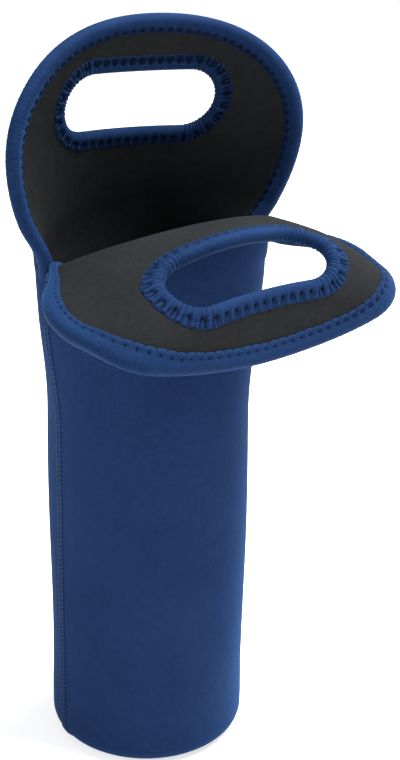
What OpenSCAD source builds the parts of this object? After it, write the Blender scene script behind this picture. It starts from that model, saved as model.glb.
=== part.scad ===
// Single bottle carrier sewn from foam-backed jersey, standing, with its front handle flap folded open.
// +Z is up, the origin is the middle of the base on the ground, and the front flap points to -Y.
// Two panels, front and back, run from the base seam up to a handle flap each. They are sewn
// together along the sides up to the crotches. Each sheet is a cover, a foam core and a lining.

/* [Tube] */
// Outer diameter of the standing tube
tube_d = 94; // [88:1:104]
// Height of the side crotches, where the two panels part
crotch_h = 235.5; // [210:0.5:260]
// Width of the mouth between the crotches, at the middle of the sheet
mouth_w = 105; // [96:0.5:114]
// How far the mouth sits to the right of the base
mouth_side_l = 1; // [0:0.1:6]
// Depth of the mouth from front to back, at the middle of the sheet
mouth_d = 79; // [74:0.5:86]
// Height at which the round tube starts to widen into the mouth
mouth_start_h = 165; // [130:1:190]
// Outer radius of the turned bottom edge
base_edge_r = 9; // [7:0.5:12]

/* [Sheet] */
// Thickness of the outer jersey
cover_t = 0.8; // [0.6:0.1:1]
// Thickness of the foam core
foam_t = 3.4; // [2.8:0.1:3.8]
// Thickness of the lining jersey
lining_t = 0.8; // [0.6:0.1:1]

/* [Flap cut] */
// Height of the back flap above the crotches, measured on the cloth
flap_h = 109.5; // [104:0.5:118]
// Flat width of the back flap at its widest
flap_w = 158; // [152:0.5:168]
// How much taller the front flap is than the back one
front_flap_extra_h = 3.2; // [0:0.1:4]
// Height of the widest place above the crotches
flap_wide_h = 46.5; // [44:0.5:54]
// Length of a hand hole
hole_l = 77; // [66:0.2:80]
// Height of a hand hole
hole_h = 29.4; // [24:0.2:32]
// Height of a hand hole's middle above the crotches
hole_rise = 71.2; // [68:0.2:76]
// How far a hand hole sits to the left of its flap's middle
hole_side_l = 2.7; // [0:0.1:4]

/* [Front flap] */
// Height of the folded crest above the crotches, at the middle of the panel
crest_rise = 20.7; // [16:0.1:23]
// Height of the folded crest above the crotches, at the sides
crest_side_rise = 1.7; // [0.5:0.1:8]
// How far the crest tips up at the right side and down at the left
crest_skew_h = 3.6; // [0:0.1:5]
// Bending radius of the crest, at the middle of the sheet
crest_r = 7; // [6.5:0.1:7.5]
// Angle that the sheet turns through at the crest, at the middle
crest_turn = 87.4; // [85:0.1:104]
// Angle that the sheet turns through at the crest, at the sides
crest_side_turn = 103; // [85:0.1:104]
// Height on the cloth above the crotches at which the flap's middle starts to droop
droop_rise = 57.3; // [56:0.1:80]
// Height on the cloth above the crotches at which the flap's sides start to droop
droop_side_rise = 76.6; // [60:0.1:84]
// Bending radius of the droop
droop_r = 21.1; // [16:0.1:28]
// Angle from upright that the flap's end hangs at, at the middle
droop_end = 174.5; // [130:0.1:180]
// Angle from upright that the flap's end hangs at, at the sides
droop_side_end = 183.3; // [130:0.1:184]
// Radius to which the round of the mouth spreads across the open flap
spread_r = 69.8; // [64:0.1:100]
// Length of cloth past the crest over which it spreads
spread_l = 32; // [20:0.2:40]
// How much longer that stretch of cloth is at the sides
spread_side_l = 26; // [0:0.2:36]
// Angle by which each side of the flap spreads outwards
flap_splay = 11.7; // [4:0.1:14]
// Angle by which the flap turns to its right
flap_turn = 0.5; // [0:0.1:8]
// How far the sides of the open flap lift above its middle
flap_dish_h = 8.3; // [0:0.1:10]

/* [Back flap] */
// Angle by which the back flap leans in over the mouth
back_lean = 12.7; // [8:0.1:18]
// Bending radius with which that lean starts
back_lean_r = 100; // [80:1:130]
// Radius of the shallow trough that the back flap forms
trough_r = 87.6; // [84:0.1:120]
// Height on the cloth above the crotches from which the trough keeps that radius
trough_rise = 79; // [70:1:100]
// Angle by which the back flap is twisted at its top
back_twist = 9.5; // [0:0.1:12]
// Angle by which the back flap sways to its right
back_sway = 5.4; // [0:0.1:6]
// How far the trough of the back flap sits to the right of the base
back_side_l = 2.6; // [0:0.1:5]

/* [Binding] */
// Width of the edge binding on each face
edge_binding_w = 10; // [7:0.5:11]
// Width of the hand holes' binding on each face
hole_binding_w = 6.5; // [5:0.5:7.5]
// Thickness of the binding tape
binding_t = 0.8; // [0.5:0.1:1]
// Width of the side seams
seam_w = 4; // [3:0.5:6]
// Thickness by which a side seam stands proud
seam_t = 0.5; // [0.3:0.1:0.8]

/* [Hidden] */

// Colours
navy = [0.14, 0.24, 0.46];
navy_light = [0.20, 0.32, 0.55];
foam_grey = [0.45, 0.45, 0.47];
charcoal = [0.16, 0.16, 0.17];

// The sheet. Its layers are distances outwards from the middle of the sheet
wall = cover_t + foam_t + lining_t;
cover_layer = [wall / 2 - cover_t, wall / 2];
foam_layer = [lining_t - wall / 2, wall / 2 - cover_t];
lining_layer = [-wall / 2, lining_t - wall / 2];
tube_mid_r = tube_d / 2 - wall / 2;
// Half the width of a panel on the cloth, from its middle to a side seam
half_w = tube_mid_r * PI / 2;

// The turned bottom edge, and the seam allowance that stands up inside it, bound with tape
edge_mid_r = base_edge_r - wall / 2;
edge_arc = edge_mid_r * PI / 2;
straight_l = crotch_h - base_edge_r;
base_r = tube_mid_r - edge_mid_r;
base_seam_t = 2;
base_seam_h = 6;

// How the cloth spreads round the oval mouth, and how the round of it passes into the trough
mouth_even = 3.6;
trough_start_r = 53.9;
trough_ease = 2.1;
trough_blend_l = 25;

// The cut outline
flap_round_power = 2.15;
hole_end_r = hole_h / 2;
hole_half_straight = hole_l / 2 - hole_end_r;
// The crest never comes closer to a crotch than this
crest_least_rise = 1.5;
// How the front flap's droop, spread and splay grow from its middle towards its sides
droop_power = 1.6;
splay_power = 2.17;
spread_depth_share = 0.89;
// Beside the crotches the front flap's sides are pushed forwards, off the back flap, by these
tuck_right_l = 6.5;
tuck_left_l = 4;
tuck_l = 6;
tuck_fade_l = 22;
tuck_gone_l = 46;
tuck_power = 4;

// Clearances: binding to sheet, binding to binding at a crotch, and the slit between fold and flap
binding_clear = 0.28;
crotch_clear = 0.3;
fold_slit = 0.7;
crotch_inset = binding_t + binding_clear + crotch_clear / 2;

// Lengths on the cloth of the bending stretches between the tube and the flaps
front_fold_l = 38;
back_fold_l = 30;

// Counts of facets
panel_columns = 14;
lobe_steps = 11;
top_steps = 8;
crest_rows = 5;
edge_rows = 3;
mouth_rows = 4;
back_fold_rows = 4;
round_fn = 64;
loop_n = panel_columns + top_steps + 2 * lobe_steps;

// Angles of the flap's outline at which its side lobes start and end
lobe_low = -20;
lobe_high = 64;
// Greatest shares of the way from the outline to the hole that the bindings take
edge_ring_share = 0.45;
hole_ring_share = 0.33;
// Difference below which two diagonals count as equal
tie_l = 0.01;
// Step on the cloth for working out the sheet's slope
slope_step = 0.05;

function mix(p, q, share) = p + (q - p) * share;
function clamped(v, low, high) = min(max(v, low), high);
function eased(v, low, high) = let (s = clamped((v - low) / (high - low), 0, 1)) s * s * (3 - 2 * s);
function unit(v) = v / norm(v);
function turn_of(l, r) = l / r * 180 / PI;
function arc_l(r, turn) = r * turn * PI / 180;
// Travel along an arc that starts at an angle from upright: outwards and upwards
function arc_out(r, start, turn) = r * (cos(start) - cos(start + turn));
function arc_up(r, start, turn) = r * (sin(start + turn) - sin(start));

// Plan of the tube or mouth at a place a across the cloth: sideways, and away from the middle
function plan_turn(a, open) = let (t = a / half_w) 90 * t - mouth_even * open * sin(180 * t);
function plan_x(a, open) =
    mix(tube_mid_r, mouth_w / 2, open) * sin(plan_turn(a, open)) + mouth_side_l * open;
function plan_y(a, open) = mix(tube_mid_r, mouth_d / 2, open) * cos(plan_turn(a, open));

// A panel below the crotches, v being the way down the cloth as a negative number
function panel_pt(side, a, v) =
    let (
        z = crotch_h + v,
        open = eased(z, mouth_start_h, crotch_h),
        bend = turn_of(clamped(-v - straight_l, 0, edge_arc), edge_mid_r),
        shrink = 1 - edge_mid_r * (1 - cos(bend)) / tube_mid_r,
        low = edge_mid_r * sin(bend)
    )
    [plan_x(a, open) * shrink, side * plan_y(a, open) * shrink, max(z, base_edge_r) - low];

// Height of the front flap's crest at a place across the cloth, and where its bend ends
function side_share(a) = 1 - cos(90 * min(abs(a) / half_w, 1));
function droop_share(a) = pow(min(abs(a) / half_w, 1), droop_power);
function crest_at(a) =
    max(
        mix(crest_rise, crest_side_rise, side_share(a)) + crest_skew_h * clamped(a / half_w, -1, 1),
        crest_least_rise
    );
function crest_turn_at(a) = mix(crest_turn, crest_side_turn, droop_share(a));
function crest_end_at(a) = crest_at(a) + arc_l(crest_r, crest_turn_at(a));

// How far a side of the front flap is pushed forwards beside the back flap
function tuck_at(a, b) =
    (a > 0 ? tuck_right_l : tuck_left_l) * pow(min(abs(a) / half_w, 1), tuck_power)
    * eased(b, 0, tuck_l) * (1 - eased(b, tuck_fade_l, tuck_gone_l));

// The front flap above the crotches: up to the crest, over it, outwards, and down again. Past the
// crest the round of the mouth spreads, and the sides lift
function front_flap_pt(a, b) =
    let (
        h = crest_at(a),
        t1 = crest_turn_at(a),
        t2 = mix(droop_end, droop_side_end, droop_share(a)),
        l1 = arc_l(crest_r, t1),
        l2 = arc_l(droop_r, t2 - t1),
        start = max(mix(droop_rise, droop_side_rise, droop_share(a)), h + l1),
        over = turn_of(clamped(b - h, 0, l1), crest_r),
        level = clamped(b - h - l1, 0, start - h - l1),
        down = turn_of(clamped(b - start, 0, l2), droop_r),
        hang = max(b - start - l2, 0),
        out = arc_out(crest_r, 0, over) + level * sin(t1) + arc_out(droop_r, t1, down) + hang * sin(t2),
        up = arc_up(crest_r, 0, over) + level * cos(t1) + arc_up(droop_r, t1, down) + hang * cos(t2),
        splay = sign(a) * flap_splay * pow(abs(a) / half_w, splay_power) - flap_turn,
        open = eased(b, h, h + spread_l + spread_side_l * pow(min(abs(a) / half_w, 1), 2)),
        turn = turn_of(a, spread_r),
        spread_y = mouth_d / 2 - spread_r * (1 - cos(turn)) * spread_depth_share
    )
    [
        mix(plan_x(a, 1), spread_r * sin(turn), open) + out * sin(splay),
        -mix(plan_y(a, 1), spread_y, open) - out * cos(splay) - tuck_at(a, b),
        crotch_h + min(b, h) + up + flap_dish_h * pow(min(abs(a) / half_w, 1), 2) * open
    ];

// The back flap above the crotches: a shallow trough that leans in, twists and sways a little
function back_flap_pt(a, b) =
    let (
        t = 1 - pow(1 - clamped(b / trough_rise, 0, 1), trough_ease),
        r = 1 / mix(1 / trough_start_r, 1 / trough_r, t),
        m = eased(b, 0, trough_blend_l),
        x = mix(plan_x(a, 1), r * sin(turn_of(a, r)) + back_side_l, m),
        y = mix(plan_y(a, 1), mouth_d / 2 - r * (1 - cos(turn_of(a, r))), m) - mouth_d / 2,
        w = back_twist * t,
        lean_l = arc_l(back_lean_r, back_lean),
        lean = turn_of(min(b, lean_l), back_lean_r),
        rest = max(b - lean_l, 0),
        inward = arc_out(back_lean_r, 0, lean) + rest * sin(back_lean),
        up = arc_up(back_lean_r, 0, lean) + rest * cos(back_lean)
    )
    [
        x * cos(w) + y * sin(w) + b * m * tan(back_sway),
        mouth_d / 2 - x * sin(w) + y * cos(w) - inward,
        crotch_h + up
    ];

// Any place of a panel and its flap, moved outwards from the middle of the sheet.
// side is -1 in front and 1 at the back
function sheet_pt(side, a, v) =
    v < 0 ? panel_pt(side, a, v) : side < 0 ? front_flap_pt(a, v) : back_flap_pt(a, v);
function sheet_normal(side, a, v) =
    let (
        across = sheet_pt(side, a + slope_step, v) - sheet_pt(side, a - slope_step, v),
        along = sheet_pt(side, a, v + slope_step) - sheet_pt(side, a, v - slope_step)
    )
    -side * unit(cross(across, along));
function place(side, mark, off) =
    sheet_pt(side, mark[0], mark[1]) + sheet_normal(side, mark[0], mark[1]) * off;

// Two triangles between the edges p-q and s-t, split from q to s. turned gives them their other
// face outwards
function cell(p, q, s, t, turned) = turned ? [[p, q, s], [q, t, s]] : [[p, s, q], [q, s, t]];
// Whether the marks of a cell are closer together from p to t, so that it is split that way
function crosses(p, q, s, t) = norm(p - t) < norm(q - s) - tie_l;
function grid_faces(marks, cols, rows, first, turned, round) =
    let (row_n = round ? cols : cols + 1)
    [for (r = [0 : rows - 1], c = [0 : cols - 1])
        let (
            p = r * row_n + c,
            q = r * row_n + (c + 1) % row_n,
            m = first + p,
            n = first + q
        )
        each crosses(marks[p], marks[q], marks[p + row_n], marks[q + row_n])
            ? cell(n, m, n + row_n, m + row_n, !turned)
            : cell(m, n, m + row_n, n + row_n, turned)];
function wall_faces(rim, n, turned) =
    [for (k = [0 : len(rim) - 2]) each cell(rim[k], rim[k + 1], rim[k] + n, rim[k + 1] + n, !turned)];

// One layer of the sheet over rows of marks on the cloth. Where it is round, each row is a ring
// and the last ring is the edge of the hand hole. Otherwise the far row is walled like the first
// row of the layer that continues it
module layer(side, marks, span, round) {
    cols = round ? len(marks[0]) : len(marks[0]) - 1;
    rows = len(marks) - 1;
    flat = [for (row = marks, mark = row) mark];
    n = len(flat);
    turned = side > 0;
    rims = round
        ? [[for (c = [0 : cols]) c % cols], [for (c = [cols : -1 : 0]) rows * cols + c % cols]]
        : [concat(
            [for (r = [rows : -1 : 0]) r * (cols + 1)],
            [for (c = [1 : cols]) c],
            [for (r = [1 : rows]) r * (cols + 1) + cols]
        )];
    far = round ? [] : wall_faces([for (c = [0 : cols]) rows * (cols + 1) + c], n, !turned);
    polyhedron(
        points = [for (off = [span[1], span[0]], mark = flat) place(side, mark, off)],
        faces = concat(
            grid_faces(flat, cols, rows, 0, turned, round),
            grid_faces(flat, cols, rows, n, !turned, round),
            [for (rim = rims) each wall_faces(rim, n, turned)],
            far
        )
    );
}

// A bar through sections with as many corners each. Its ends are closed by four-cornered limbs.
// crossed lists for each section the sides that are split the other way up to the next one
module swept(sections, limbs, closed, turned, crossed) {
    n = len(sections);
    m = len(sections[0]);
    last = closed ? n - 1 : n - 2;
    skin = [for (k = [0 : last], c = [0 : m - 1])
        let (p = k * m, q = (k + 1) % n * m, d = (c + 1) % m)
        each search(c, crossed[k]) != []
            ? cell(p + d, q + d, p + c, q + c, turned)
            : cell(p + c, p + d, q + c, q + d, turned)];
    caps = [for (l = limbs) each [[l[0], l[1], l[2]], [l[0], l[2], l[3]]]];
    far = (n - 1) * m;
    near_end = [for (f = caps) turned ? [f[2], f[1], f[0]] : f];
    far_end = [for (f = near_end) [far + f[2], far + f[1], far + f[0]]];
    polyhedron(
        points = [for (section = sections, p = section) p],
        faces = closed ? skin : concat(skin, near_end, far_end)
    );
}

// Tape folded over an edge of the sheet. rim holds marks on the edge and inner the matching marks
// under the tape's own edges. Seen from outside, the edge lies to the right of its run
binding_limbs = [[0, 1, 6, 7], [1, 2, 5, 6], [2, 3, 4, 5]];
// Sides that are split otherwise where the sheet is split from the tape's edge to the next rim
// mark, and where it is split from the rim to the next mark under the tape's edge
to_rim = [0, 4, 5];
from_rim = [2, 5, 6];
module binding(side, rim, inner, closed, strip = false) {
    low = wall / 2 + binding_clear;
    high = low + binding_t;
    function beyond(k, l) = rim[k] + unit(rim[k] - inner[k]) * l;
    sections = [for (k = [0 : len(rim) - 1])
        let (past = beyond(k, binding_clear + binding_t), edge = beyond(k, binding_clear))
        [
            place(side, inner[k], high), place(side, past, high),
            place(side, past, -high), place(side, inner[k], -high),
            place(side, inner[k], -low), place(side, edge, -low),
            place(side, edge, low), place(side, inner[k], low)
        ]];
    crossed = [for (k = [0 : len(rim) - 1])
        let (l = (k + 1) % len(rim))
        strip
            ? (crosses(inner[k], rim[k], inner[l], rim[l]) ? to_rim : from_rim)
            : (crosses(rim[k], rim[l], inner[k], inner[l]) ? from_rim : to_rim)];
    swept(sections, binding_limbs, closed, side > 0, crossed);
}

// Rows of marks. The outermost columns are as wide as the edge binding
function across(c, half) =
    c == 0 ? -half
    : c == panel_columns ? half
    : mix(edge_binding_w - half, half - edge_binding_w, (c - 1) / (panel_columns - 2));
function row(half, v) = [for (c = [0 : panel_columns]) [across(c, half), v]];
mouth_levels = [for (r = [0 : mouth_rows]) (mouth_start_h - crotch_h) * (1 - r / mouth_rows)];
panel_marks = concat(
    [for (r = [0 : edge_rows]) row(half_w, -straight_l - edge_arc * (1 - r / edge_rows))],
    [for (v = mouth_levels) row(half_w, v)]
);
widest_column = max(edge_binding_w, 2 * (half_w - edge_binding_w) / (panel_columns - 2));

// The cut outline: its top, half of its width up to the widest place, and its round above that
function top_at(side) = flap_h + (side < 0 ? front_flap_extra_h : 0);
function side_edge(b) =
    let (low = half_w - crotch_inset)
    mix(low, flap_w / 2, sin(90 * clamped(b / flap_wide_h, 0, 1)));
function round_edge(side, turn) =
    let (power = 2 / flap_round_power)
    [
        flap_w / 2 * sign(cos(turn)) * pow(abs(cos(turn)), power),
        flap_wide_h + (top_at(side) - flap_wide_h) * pow(sin(turn), power)
    ];
function lobe(side, turn, fold_l) =
    turn > 0 ? round_edge(side, turn)
    : let (b = mix(flap_wide_h, fold_l, turn / lobe_low)) [side_edge(b), b];
function lobe_turn(k) = mix(lobe_low, lobe_high, k / lobe_steps);

// The outline above the fold, from the left end of the fold, and the hole, as matching loops
function outer_loop(side, fold_l) = concat(
    [for (c = [0 : panel_columns - 1]) [across(c, side_edge(fold_l)), fold_l]],
    [for (k = [0 : lobe_steps - 1]) lobe(side, lobe_turn(k), fold_l)],
    [for (k = [0 : top_steps - 1]) round_edge(side, mix(lobe_high, 180 - lobe_high, k / top_steps))],
    [for (k = [lobe_steps : -1 : 1]) let (p = lobe(side, lobe_turn(k), fold_l)) [-p[0], p[1]]]
);
hole_loop =
    let (
        s = hole_half_straight,
        middle = [-hole_side_l, hole_rise],
        ends = [for (k = [0 : lobe_steps - 1]) 180 * k / lobe_steps - 90]
    )
    concat(
        [for (c = [0 : panel_columns - 1]) middle + [mix(-s, s, c / panel_columns), -hole_end_r]],
        [for (turn = ends) middle + [s + hole_end_r * cos(turn), hole_end_r * sin(turn)]],
        [for (k = [0 : top_steps - 1]) middle + [mix(s, -s, k / top_steps), hole_end_r]],
        [for (turn = ends) middle - [s + hole_end_r * cos(turn), hole_end_r * sin(turn)]]
    );
function toward(p, q, l, most_share) = p + (q - p) * min(l / norm(q - p), most_share);
function flap_rings(side, fold_l) =
    let (
        outer = outer_loop(side, fold_l),
        marks = [for (k = [0 : loop_n - 1]) k],
        edge_ring = [for (k = marks) toward(outer[k], hole_loop[k], edge_binding_w, edge_ring_share)],
        hole_ring = [for (k = marks) toward(hole_loop[k], outer[k], hole_binding_w, hole_ring_share)],
        middle = (edge_ring + hole_ring) / 2
    )
    [outer, edge_ring, middle, hole_ring, hole_loop];
front_rings = flap_rings(-1, front_fold_l);
back_rings = flap_rings(1, back_fold_l);
function picked(ring, order) = [for (k = order) ring[k]];
// Places of the outline that carry binding, from the fold's right end round to its left end, and
// the hole's places, which run the other way
edge_order = concat([for (k = [panel_columns : loop_n - 1]) k], [0]);
hole_order = [for (k = [loop_n - 1 : -1 : 0]) k];

module edge_binding(side, rings) {
    binding(side, picked(rings[0], edge_order), picked(rings[1], edge_order), false);
}
module hole_binding(side, rings) {
    binding(side, picked(rings[4], hole_order), picked(rings[3], hole_order), true);
}

// Rows of marks of the bending stretches. The front one bends at its crest and is level past it
front_fold_end = front_fold_l - fold_slit;
function crest_row(over, past) = [for (c = [0 : panel_columns])
    let (a = across(c, half_w), b = mix(mix(crest_at(a), crest_end_at(a), over), front_fold_end, past))
    [across(c, side_edge(b)), b]];
front_fold_marks = concat(
    [row(side_edge(0), 0)],
    [for (r = [0 : crest_rows]) crest_row(r / crest_rows, 0)],
    [crest_row(1, 1)]
);
back_fold_marks = [for (r = [0 : back_fold_rows])
    let (b = (back_fold_l - fold_slit) * r / back_fold_rows)
    row(side_edge(b), b)];
// Binding along a side of a bending stretch: up its right side or down its left side
module fold_binding(side, marks, right) {
    rows = len(marks) - 1;
    order = right ? [for (r = [0 : rows]) r] : [for (r = [rows : -1 : 0]) r];
    rim = [for (r = order) marks[r][right ? panel_columns : 0]];
    inner = [for (r = order) marks[r][right ? panel_columns - 1 : 1]];
    binding(side, rim, inner, false, true);
}

// Flat seam over the meeting edges of the two panels, from the bottom edge up to the crotch
seam_limbs = [[0, 1, 4, 5], [1, 2, 3, 4]];
seam_crossed = [0, 4];
module side_seam(right) {
    low = wall / 2 + binding_clear;
    high = low + seam_t;
    sections = [for (v = concat([-straight_l], mouth_levels))
        let (near = [right * (half_w - seam_w / 2), v], seam = [right * half_w, v])
        [
            place(1, near, low), place(1, seam, low), place(-1, near, low),
            place(-1, near, high), place(1, seam, high), place(1, near, high)
        ]];
    swept(sections, seam_limbs, false, right < 0, [for (section = sections) seam_crossed]);
}

// The round base, which fills the facets of the turned bottom edges
module base_disc(low, t) {
    translate([0, 0, low])
        cylinder(r = base_r * cos(45 * widest_column / half_w), h = t, $fn = round_fn);
}

module front_panel_cover() {
    color(navy) layer(-1, panel_marks, cover_layer, false);
}
module front_panel_foam() {
    color(foam_grey) layer(-1, panel_marks, foam_layer, false);
}
module front_panel_lining() {
    color(charcoal) layer(-1, panel_marks, lining_layer, false);
}
module back_panel_cover() {
    color(navy) layer(1, panel_marks, cover_layer, false);
}
module back_panel_foam() {
    color(foam_grey) layer(1, panel_marks, foam_layer, false);
}
module back_panel_lining() {
    color(charcoal) layer(1, panel_marks, lining_layer, false);
}
module base_cover() {
    color(navy) base_disc(0, cover_t);
}
module base_foam() {
    color(foam_grey) base_disc(cover_t, foam_t);
}
module base_lining() {
    color(charcoal) base_disc(cover_t + foam_t, lining_t);
}
module base_seam_binding() {
    color(charcoal)
        translate([0, 0, wall])
        rotate_extrude($fn = round_fn)
        translate([base_r * cos(45 * widest_column / half_w) - base_seam_t, 0])
        square([base_seam_t, base_seam_h]);
}
module left_side_seam() {
    color(navy_light) side_seam(-1);
}
module right_side_seam() {
    color(navy_light) side_seam(1);
}
module front_fold_cover() {
    color(navy) layer(-1, front_fold_marks, cover_layer, false);
}
module front_fold_foam() {
    color(foam_grey) layer(-1, front_fold_marks, foam_layer, false);
}
module front_fold_lining() {
    color(charcoal) layer(-1, front_fold_marks, lining_layer, false);
}
module front_fold_left_binding() {
    color(navy_light) fold_binding(-1, front_fold_marks, false);
}
module front_fold_right_binding() {
    color(navy_light) fold_binding(-1, front_fold_marks, true);
}
module back_fold_cover() {
    color(navy) layer(1, back_fold_marks, cover_layer, false);
}
module back_fold_foam() {
    color(foam_grey) layer(1, back_fold_marks, foam_layer, false);
}
module back_fold_lining() {
    color(charcoal) layer(1, back_fold_marks, lining_layer, false);
}
module back_fold_left_binding() {
    color(navy_light) fold_binding(1, back_fold_marks, false);
}
module back_fold_right_binding() {
    color(navy_light) fold_binding(1, back_fold_marks, true);
}
module front_flap_cover() {
    color(navy) layer(-1, front_rings, cover_layer, true);
}
module front_flap_foam() {
    color(foam_grey) layer(-1, front_rings, foam_layer, true);
}
module front_flap_lining() {
    color(charcoal) layer(-1, front_rings, lining_layer, true);
}
module front_edge_binding() {
    color(navy_light) edge_binding(-1, front_rings);
}
module front_hole_binding() {
    color(navy_light) hole_binding(-1, front_rings);
}
module back_flap_cover() {
    color(navy) layer(1, back_rings, cover_layer, true);
}
module back_flap_foam() {
    color(foam_grey) layer(1, back_rings, foam_layer, true);
}
module back_flap_lining() {
    color(charcoal) layer(1, back_rings, lining_layer, true);
}
module back_edge_binding() {
    color(navy_light) edge_binding(1, back_rings);
}
module back_hole_binding() {
    color(navy_light) hole_binding(1, back_rings);
}

front_panel_cover();
front_panel_foam();
front_panel_lining();
back_panel_cover();
back_panel_foam();
back_panel_lining();
base_cover();
base_foam();
base_lining();
base_seam_binding();
left_side_seam();
right_side_seam();
front_fold_cover();
front_fold_foam();
front_fold_lining();
front_fold_left_binding();
front_fold_right_binding();
back_fold_cover();
back_fold_foam();
back_fold_lining();
back_fold_left_binding();
back_fold_right_binding();
front_flap_cover();
front_flap_foam();
front_flap_lining();
front_edge_binding();
front_hole_binding();
back_flap_cover();
back_flap_foam();
back_flap_lining();
back_edge_binding();
back_hole_binding();
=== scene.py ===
"""Single bottle carrier in foam-backed jersey: two panels sewn into a tube, each ending in a
handle flap with a hand hole, the front one folded open. Every cloth, tape and stitch is laid by
functions that take places on the flat cut (a across the panel, v up it from the crotches) to
places in space. Lengths on the cloth are in millimetres. Side -1 is the front, 1 the back."""
import math

import bpy
import numpy as np
from mathutils import Matrix, Vector


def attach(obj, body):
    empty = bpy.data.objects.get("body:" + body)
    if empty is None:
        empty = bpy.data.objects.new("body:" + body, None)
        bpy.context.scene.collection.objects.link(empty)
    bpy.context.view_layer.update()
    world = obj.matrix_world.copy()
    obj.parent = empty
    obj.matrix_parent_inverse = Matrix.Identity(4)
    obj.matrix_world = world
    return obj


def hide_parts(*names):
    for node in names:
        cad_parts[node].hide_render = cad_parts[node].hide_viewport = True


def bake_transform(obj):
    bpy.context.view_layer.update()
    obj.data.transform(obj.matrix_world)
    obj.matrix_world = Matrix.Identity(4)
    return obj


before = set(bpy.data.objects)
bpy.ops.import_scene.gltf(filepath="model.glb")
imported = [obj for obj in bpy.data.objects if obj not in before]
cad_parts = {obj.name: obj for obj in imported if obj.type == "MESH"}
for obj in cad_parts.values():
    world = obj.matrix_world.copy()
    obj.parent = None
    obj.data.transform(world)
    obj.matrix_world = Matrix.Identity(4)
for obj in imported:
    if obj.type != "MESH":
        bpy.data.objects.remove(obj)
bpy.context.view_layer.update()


MM = 0.001
FRONT, BACK = -1, 1

# camera, as fitted to the photograph: distances from the base's middle in millimetres
LENS, CAM_REACH = 68.1, 20
CAM_YAW, CAM_PITCH, CAM_ROLL = math.radians(32.5), math.radians(20.875), math.radians(1.12)
CAM_BACK, CAM_UP, CAM_SIDE = 623.87, 418.4, 23.74

# the cut and the tube, as in the CAD
TUBE_R, CROTCH_H, MOUTH_W, MOUTH_D, MOUTH_SIDE, MOUTH_START, EDGE_R = 47, 235.5, 105, 79, 1, 165, 9
WALL = 5.0
FLAP_H, FRONT_EXTRA, FLAP_HALF, WIDE_H = 109.5, 3.2, 79, 46.5
HOLE_L, HOLE_H, HOLE_RISE, HOLE_SIDE, ROUND_POWER = 77, 29.4, 71.2, 2.7, 2.15
MID_R = TUBE_R - WALL / 2
HALF_W = MID_R * math.pi / 2
HALF_WALL = WALL / 2
EDGE_MID_R = EDGE_R - WALL / 2
EDGE_ARC = EDGE_MID_R * math.pi / 2
STRAIGHT = CROTCH_H - EDGE_R
BASE_R = MID_R - EDGE_MID_R
CROTCH_INSET, CROTCH_INSET_L = 1.23, 5
MOUTH_EVEN = math.radians(3.6)
FOLD_L = {FRONT: 38, BACK: 30}
# front flap
CREST_RISE, CREST_SIDE, CREST_SKEW, CREST_LEAST, CREST_R = 20.7, 1.7, 3.6, 1.5, 7
CREST_TURN, CREST_SIDE_TURN = 87.4, 103
DROOP_RISE, DROOP_SIDE, DROOP_R, DROOP_END, DROOP_SIDE_END = 57.3, 76.6, 21.1, 174.5, 183.3
DROOP_POWER, SPLAY_POWER, SPREAD_DEPTH = 1.6, 2.17, 0.89
SPREAD_R, SPREAD_L, SPREAD_SIDE, SPLAY, TURN, DISH = 69.8, 32, 26, 11.7, 0.5, 8.3
TUCK_RIGHT, TUCK_LEFT, TUCK_L, TUCK_FADE, TUCK_GONE, TUCK_POWER = 6.5, 4, 6, 22, 46, 4
# back flap
LEAN, LEAN_R, TROUGH_R, TROUGH_START_R, TROUGH_RISE = math.radians(12.7), 100, 87.6, 53.9, 79
TROUGH_EASE, TROUGH_BLEND, TROUGH_SIDE = 2.1, 25, 2.6
TWIST, SWAY = math.radians(9.5), math.radians(5.4)

# where the dressed cloth leaves the CAD's middle surface: eased curves, a tighter bend at the
# crotches, a fuller right wing and a left crotch drawn in
EASE, CREST_EASE, CREST_PINCH, PINCH_POWER = 0.07, 1.2, 3.4, 8
WING, WING_TOP, WING_L = 3.6, 26, 84
CROTCH_IN, CROTCH_IN_AT, CROTCH_IN_L, CROTCH_IN_POWER = 2.6, -2, 17, 6
# soft unevenness: the height of two waves, their lengths over 2 pi, and their phases
WAVE, WAVE_A, WAVE_V, WAVE_TURN, WAVE_START = 0.35, 17, 31, 1.3, 0.7
RIPPLE, RIPPLE_A, RIPPLE_V, RIPPLE_TURN = 0.22, 9.5, 22, 2.1
EVEN_FOOT, EVEN_MOUTH, EVEN_SEAM, EVEN_FLAP, FLAP_SHARE = (4, 26), 14, 14, (30, 44), 0.5
# how much the cloth is squeezed under its tapes, and how far from the edge that fades
SQUEEZE, SQUEEZE_FADE, SQUEEZE_STEP, SQUEEZE_PARTS = 0.28, (1, 7.5), 0.8, 40
SPLIT = 0.1

# rows and columns of the meshes
COLS, LOBES, TOPS, RINGS = 72, 44, 40, 16
FOOT_ROWS, TUBE_ROWS, FOLD_ROWS, RUN_ROWS = 9, 92, {FRONT: 30, BACK: 16}, 30
LOBE_LOW, LOBE_HIGH = -20, 64
# in metres, the gaps closed when vertices are merged, and how far from a cloth's face a vertex
# of its hidden back lies at least; in degrees, the angles up to which meshes are shaded smooth
MERGE, RING_MERGE, STITCH_MERGE, BACK_GAP = 1e-5, 2e-5, 1e-4, 2e-5
CLOTH_ANGLE, TAPE_ANGLE, THREAD_ANGLE, DISC_ANGLE = 50, 60, 80, 40


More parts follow.
